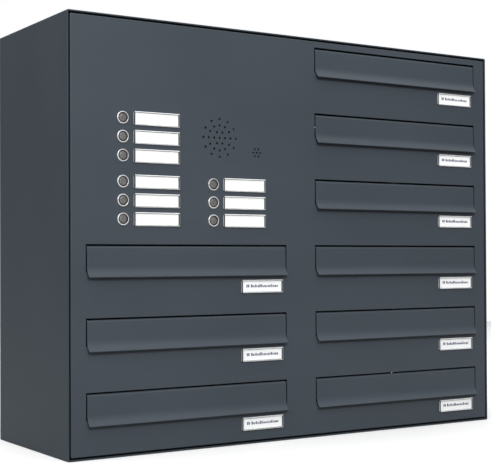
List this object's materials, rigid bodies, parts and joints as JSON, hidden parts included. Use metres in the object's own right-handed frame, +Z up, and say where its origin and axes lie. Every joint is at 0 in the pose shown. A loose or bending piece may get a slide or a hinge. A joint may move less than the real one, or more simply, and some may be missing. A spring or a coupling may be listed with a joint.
{
  "type": "cluster mailbox unit",
  "caption": "Free-standing cluster mailbox cabinet with lip-edged letter flaps, framed name plates, a bell and intercom panel, and rear access doors.",
  "frame": {"origin": "middle of the casing's base, on the surface that it stands on", "axes": "+X to the right as seen from the front, the letter slots face -Y, +Z up"},
  "size_m": [0.836, 0.2803, 0.6655],
  "materials": {
    "plate_paint": "satin powder coat, anthracite grey, with a fine horizontal brushed grain",
    "case_paint": "satin powder coat, anthracite grey",
    "zinc_sheet": "galvanised sheet, bare inside",
    "bright_steel": "satin stainless steel",
    "cap_steel": "bead-blasted stainless steel",
    "black_plastic": "moulded, fine grain",
    "black_rubber": "matt",
    "clear_cover": "clear acrylic, polished",
    "card": "white card",
    "grey_plastic": "moulded"
  },
  "bodies": {
    "cabinet": {"casing": "case_paint", "front_plate": "plate_paint", "front_frame": "case_paint", "front_gasket": "black_rubber", "plate_nuts": "bright_steel", "centre_wall": "zinc_sheet", "rear_post": "case_paint", "left_shelves": "zinc_sheet", "right_shelves": "zinc_sheet", "slot_frames": "case_paint", "flap_pins": "bright_steel", "label_covers": "clear_cover", "label_cards": "card", "bell_bezels": "bright_steel", "bell_nuts": "bright_steel", "bell_switches": "black_plastic", "speaker": "black_plastic", "microphone": "black_plastic", "intercom_module": "grey_plastic", "cable_grommet": "black_rubber", "hinge_rods": "bright_steel", "hinge_ears": "case_paint"},
    "flap_1": {"flap_1": "plate_paint"},
    "flap_2": {"flap_2": "plate_paint"},
    "flap_3": {"flap_3": "plate_paint"},
    "flap_4": {"flap_4": "plate_paint"},
    "flap_5": {"flap_5": "plate_paint"},
    "flap_6": {"flap_6": "plate_paint"},
    "flap_7": {"flap_7": "plate_paint"},
    "flap_8": {"flap_8": "plate_paint"},
    "flap_9": {"flap_9": "plate_paint"},
    "bell_button_1": {"bell_button_1": "cap_steel"},
    "bell_button_2": {"bell_button_2": "cap_steel"},
    "bell_button_3": {"bell_button_3": "cap_steel"},
    "bell_button_4": {"bell_button_4": "cap_steel"},
    "bell_button_5": {"bell_button_5": "cap_steel"},
    "bell_button_6": {"bell_button_6": "cap_steel"},
    "bell_button_7": {"bell_button_7": "cap_steel"},
    "bell_button_8": {"bell_button_8": "cap_steel"},
    "bell_button_9": {"bell_button_9": "cap_steel"},
    "door_1": {"door_1": "case_paint"},
    "lock_cam_1": {"lock_cam_1": "bright_steel"},
    "door_2": {"door_2": "case_paint"},
    "lock_cam_2": {"lock_cam_2": "bright_steel"},
    "door_3": {"door_3": "case_paint"},
    "lock_cam_3": {"lock_cam_3": "bright_steel"},
    "door_4": {"door_4": "case_paint"},
    "lock_cam_4": {"lock_cam_4": "bright_steel"},
    "door_5": {"door_5": "case_paint"},
    "lock_cam_5": {"lock_cam_5": "bright_steel"},
    "door_6": {"door_6": "case_paint"},
    "lock_cam_6": {"lock_cam_6": "bright_steel"},
    "door_7": {"door_7": "case_paint"},
    "lock_cam_7": {"lock_cam_7": "bright_steel"},
    "door_8": {"door_8": "case_paint"},
    "lock_cam_8": {"lock_cam_8": "bright_steel"},
    "door_9": {"door_9": "case_paint"},
    "lock_cam_9": {"lock_cam_9": "bright_steel"},
    "service_door": {"service_door": "case_paint"},
    "service_cam": {"service_cam": "bright_steel"}
  },
  "joints": [
    {"name": "flap_1_hinge", "type": "hinge", "parent": "cabinet", "child": "flap_1", "pos_m": [-0.209, -0.131, 0.3125], "axis": [-1, 0, 0], "range_deg": [0, 80]},
    {"name": "flap_2_hinge", "type": "hinge", "parent": "cabinet", "child": "flap_2", "pos_m": [-0.209, -0.131, 0.2025], "axis": [-1, 0, 0], "range_deg": [0, 80]},
    {"name": "flap_3_hinge", "type": "hinge", "parent": "cabinet", "child": "flap_3", "pos_m": [-0.209, -0.131, 0.0925], "axis": [-1, 0, 0], "range_deg": [0, 80]},
    {"name": "flap_4_hinge", "type": "hinge", "parent": "cabinet", "child": "flap_4", "pos_m": [0.209, -0.131, 0.6425], "axis": [-1, 0, 0], "range_deg": [0, 80]},
    {"name": "flap_5_hinge", "type": "hinge", "parent": "cabinet", "child": "flap_5", "pos_m": [0.209, -0.131, 0.5325], "axis": [-1, 0, 0], "range_deg": [0, 80]},
    {"name": "flap_6_hinge", "type": "hinge", "parent": "cabinet", "child": "flap_6", "pos_m": [0.209, -0.131, 0.4225], "axis": [-1, 0, 0], "range_deg": [0, 80]},
    {"name": "flap_7_hinge", "type": "hinge", "parent": "cabinet", "child": "flap_7", "pos_m": [0.209, -0.131, 0.3125], "axis": [-1, 0, 0], "range_deg": [0, 80]},
    {"name": "flap_8_hinge", "type": "hinge", "parent": "cabinet", "child": "flap_8", "pos_m": [0.209, -0.131, 0.2025], "axis": [-1, 0, 0], "range_deg": [0, 80]},
    {"name": "flap_9_hinge", "type": "hinge", "parent": "cabinet", "child": "flap_9", "pos_m": [0.209, -0.131, 0.0925], "axis": [-1, 0, 0], "range_deg": [0, 80]},
    {"name": "bell_button_1_press", "type": "slide", "parent": "cabinet", "child": "bell_button_1", "axis": [0, 1, 0], "range_m": [0, 0.0015], "stiffness_N_per_m": 800, "springref_m": -0.0015},
    {"name": "bell_button_2_press", "type": "slide", "parent": "cabinet", "child": "bell_button_2", "axis": [0, 1, 0], "range_m": [0, 0.0015], "stiffness_N_per_m": 800, "springref_m": -0.0015},
    {"name": "bell_button_3_press", "type": "slide", "parent": "cabinet", "child": "bell_button_3", "axis": [0, 1, 0], "range_m": [0, 0.0015], "stiffness_N_per_m": 800, "springref_m": -0.0015},
    {"name": "bell_button_4_press", "type": "slide", "parent": "cabinet", "child": "bell_button_4", "axis": [0, 1, 0], "range_m": [0, 0.0015], "stiffness_N_per_m": 800, "springref_m": -0.0015},
    {"name": "bell_button_5_press", "type": "slide", "parent": "cabinet", "child": "bell_button_5", "axis": [0, 1, 0], "range_m": [0, 0.0015], "stiffness_N_per_m": 800, "springref_m": -0.0015},
    {"name": "bell_button_6_press", "type": "slide", "parent": "cabinet", "child": "bell_button_6", "axis": [0, 1, 0], "range_m": [0, 0.0015], "stiffness_N_per_m": 800, "springref_m": -0.0015},
    {"name": "bell_button_7_press", "type": "slide", "parent": "cabinet", "child": "bell_button_7", "axis": [0, 1, 0], "range_m": [0, 0.0015], "stiffness_N_per_m": 800, "springref_m": -0.0015},
    {"name": "bell_button_8_press", "type": "slide", "parent": "cabinet", "child": "bell_button_8", "axis": [0, 1, 0], "range_m": [0, 0.0015], "stiffness_N_per_m": 800, "springref_m": -0.0015},
    {"name": "bell_button_9_press", "type": "slide", "parent": "cabinet", "child": "bell_button_9", "axis": [0, 1, 0], "range_m": [0, 0.0015], "stiffness_N_per_m": 800, "springref_m": -0.0015},
    {"name": "door_1_hinge", "type": "hinge", "parent": "cabinet", "child": "door_1", "pos_m": [-0.4085, 0.13, 0.277], "axis": [0, 0, 1], "range_deg": [0, 100]},
    {"name": "lock_cam_1_turn", "type": "hinge", "parent": "door_1", "child": "lock_cam_1", "pos_m": [-0.038, 0.135, 0.277], "axis": [0, -1, 0], "range_deg": [0, 90]},
    {"name": "door_2_hinge", "type": "hinge", "parent": "cabinet", "child": "door_2", "pos_m": [-0.4085, 0.13, 0.167], "axis": [0, 0, 1], "range_deg": [0, 100]},
    {"name": "lock_cam_2_turn", "type": "hinge", "parent": "door_2", "child": "lock_cam_2", "pos_m": [-0.038, 0.135, 0.167], "axis": [0, -1, 0], "range_deg": [0, 90]},
    {"name": "door_3_hinge", "type": "hinge", "parent": "cabinet", "child": "door_3", "pos_m": [-0.4085, 0.13, 0.057], "axis": [0, 0, 1], "range_deg": [0, 100]},
    {"name": "lock_cam_3_turn", "type": "hinge", "parent": "door_3", "child": "lock_cam_3", "pos_m": [-0.038, 0.135, 0.057], "axis": [0, -1, 0], "range_deg": [0, 90]},
    {"name": "door_4_hinge", "type": "hinge", "parent": "cabinet", "child": "door_4", "pos_m": [0.4085, 0.13, 0.607], "axis": [0, 0, -1], "range_deg": [0, 100]},
    {"name": "lock_cam_4_turn", "type": "hinge", "parent": "door_4", "child": "lock_cam_4", "pos_m": [0.038, 0.135, 0.607], "axis": [0, 1, 0], "range_deg": [0, 90]},
    {"name": "door_5_hinge", "type": "hinge", "parent": "cabinet", "child": "door_5", "pos_m": [0.4085, 0.13, 0.497], "axis": [0, 0, -1], "range_deg": [0, 100]},
    {"name": "lock_cam_5_turn", "type": "hinge", "parent": "door_5", "child": "lock_cam_5", "pos_m": [0.038, 0.135, 0.497], "axis": [0, 1, 0], "range_deg": [0, 90]},
    {"name": "door_6_hinge", "type": "hinge", "parent": "cabinet", "child": "door_6", "pos_m": [0.4085, 0.13, 0.387], "axis": [0, 0, -1], "range_deg": [0, 100]},
    {"name": "lock_cam_6_turn", "type": "hinge", "parent": "door_6", "child": "lock_cam_6", "pos_m": [0.038, 0.135, 0.387], "axis": [0, 1, 0], "range_deg": [0, 90]},
    {"name": "door_7_hinge", "type": "hinge", "parent": "cabinet", "child": "door_7", "pos_m": [0.4085, 0.13, 0.277], "axis": [0, 0, -1], "range_deg": [0, 100]},
    {"name": "lock_cam_7_turn", "type": "hinge", "parent": "door_7", "child": "lock_cam_7", "pos_m": [0.038, 0.135, 0.277], "axis": [0, 1, 0], "range_deg": [0, 90]},
    {"name": "door_8_hinge", "type": "hinge", "parent": "cabinet", "child": "door_8", "pos_m": [0.4085, 0.13, 0.167], "axis": [0, 0, -1], "range_deg": [0, 100]},
    {"name": "lock_cam_8_turn", "type": "hinge", "parent": "door_8", "child": "lock_cam_8", "pos_m": [0.038, 0.135, 0.167], "axis": [0, 1, 0], "range_deg": [0, 90]},
    {"name": "door_9_hinge", "type": "hinge", "parent": "cabinet", "child": "door_9", "pos_m": [0.4085, 0.13, 0.057], "axis": [0, 0, -1], "range_deg": [0, 100]},
    {"name": "lock_cam_9_turn", "type": "hinge", "parent": "door_9", "child": "lock_cam_9", "pos_m": [0.038, 0.135, 0.057], "axis": [0, 1, 0], "range_deg": [0, 90]},
    {"name": "service_door_hinge", "type": "hinge", "parent": "cabinet", "child": "service_door", "pos_m": [-0.4085, 0.13, 0.497], "axis": [0, 0, 1], "range_deg": [0, 100]},
    {"name": "service_cam_turn", "type": "hinge", "parent": "service_door", "child": "service_cam", "pos_m": [-0.038, 0.135, 0.497], "axis": [0, -1, 0], "range_deg": [0, 90]}
  ]
}
